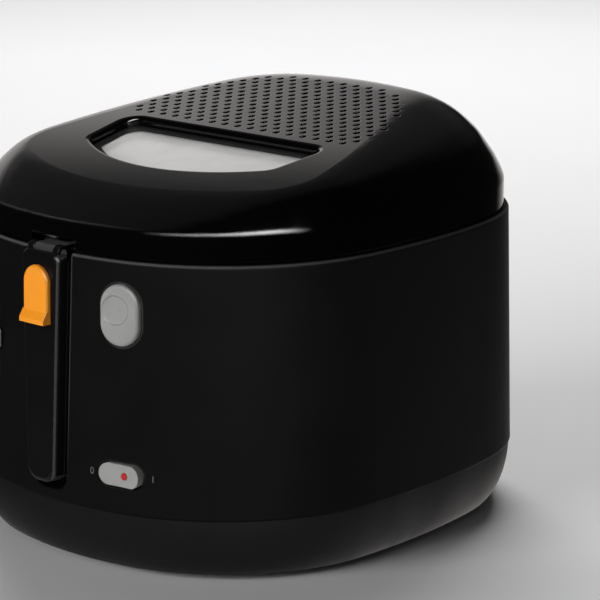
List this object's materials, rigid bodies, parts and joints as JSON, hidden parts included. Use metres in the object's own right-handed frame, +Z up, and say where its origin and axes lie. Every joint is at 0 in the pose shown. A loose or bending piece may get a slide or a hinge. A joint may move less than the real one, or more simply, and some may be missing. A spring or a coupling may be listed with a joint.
{
  "type": "deep fryer",
  "caption": "Compact household deep fryer: rounded body on a tucked base, rear-hinged domed lid with window and vent grille, lift-out basket with fold-down front handle.",
  "frame": {"origin": "centre of the bounding box, at the bottom, on the table", "axes": "+Z up, -Y is the front with the handle, +Y the back with the lid hinge, +X the right side seen from the front"},
  "size_m": [0.278, 0.3382, 0.2438],
  "materials": {
    "body_black": "satin",
    "base_black": "matte",
    "lid_black": "gloss",
    "handle_black": "satin",
    "inner_black": "matte",
    "control_grey": "satin",
    "catch_orange": "satin",
    "lamp_red": "gloss",
    "pane": "clear",
    "steel": "brushed",
    "bowl_coat": "dark non-stick coat",
    "element": "oxidised",
    "rubber": "matte",
    "seal": "matte",
    "filter": "felt"
  },
  "bodies": {
    "housing": {"outer_body": "body_black", "base_tray": "base_black", "feet": "rubber", "base_screws": "steel", "bowl": "bowl_coat", "heating_element": "element", "heat_shield": "steel", "thermal_cutout": "inner_black", "thermostat_body": "inner_black", "terminal_block": "inner_black", "switch_housing": "inner_black", "cord_gland": "rubber", "hinge_bracket": "inner_black", "hinge_pin": "steel", "hinge_screws": "steel", "lid_springs": "steel", "latch_pin": "steel", "latch_spring": "steel"},
    "lid": {"lid_shell": "lid_black", "window_pane": "pane", "window_bezel": "inner_black", "lid_frame": "inner_black", "lid_seal": "seal", "lid_screws": "steel", "filter_pad": "filter", "filter_cover": "inner_black", "latch_catch": "inner_black", "hinge_arm": "inner_black"},
    "lid_button": {"lid_button": "control_grey"},
    "latch": {"latch_hook": "inner_black"},
    "basket": {"basket_mesh": "steel", "basket_rim": "steel", "basket_bracket": "steel", "handle_pin": "steel"},
    "handle": {"handle_shell": "handle_black", "handle_back": "handle_black", "slider_spring": "steel"},
    "slide_catch": {"handle_slider": "catch_orange"},
    "rocker": {"power_rocker": "control_grey", "lamp_lens": "lamp_red"},
    "thermostat": {"thermostat_slider": "control_grey"}
  },
  "joints": [
    {"name": "lid_hinge", "type": "hinge", "parent": "housing", "child": "lid", "pos_m": [0, 0.16206, 0.1785], "axis": [-1, 0, 0], "range_deg": [0, 80]},
    {"name": "button_push", "type": "slide", "parent": "housing", "child": "lid_button", "axis": [-0.252, 0.9675, -0.0213], "range_m": [0, 0.003], "stiffness_N_per_m": 400},
    {"name": "latch_turn", "type": "hinge", "parent": "housing", "child": "latch", "pos_m": [0.04783, -0.13841, 0.12174], "axis": [-0.9677, -0.2521, 0], "range_deg": [0, 7.5]},
    {"name": "basket_lift", "type": "slide", "parent": "housing", "child": "basket", "axis": [0, 0, 1], "range_m": [0, 0.002]},
    {"name": "handle_fold", "type": "hinge", "parent": "basket", "child": "handle", "pos_m": [0, -0.15543, 0.1779], "axis": [-1, 0, 0], "range_deg": [0, 88]},
    {"name": "catch_slide", "type": "slide", "parent": "handle", "child": "slide_catch", "axis": [0, -0.0213, -0.9998], "range_m": [0, 0.008], "stiffness_N_per_m": 200, "deforming": ["slider_spring"]},
    {"name": "rocker_turn", "type": "hinge", "parent": "housing", "child": "rocker", "pos_m": [0.05001, -0.14676, 0.05959], "axis": [-0.0054, 0.0207, 0.9998], "range_deg": [0, 12]},
    {"name": "thermostat_slide", "type": "slide", "parent": "housing", "child": "thermostat", "axis": [0.0054, 0.0207, 0.9998], "range_m": [-0.02, 0.02]}
  ],
  "couplings": [
    {"joint": "latch_turn", "follows": "button_push", "rad_per_m": 43.5}
  ]
}
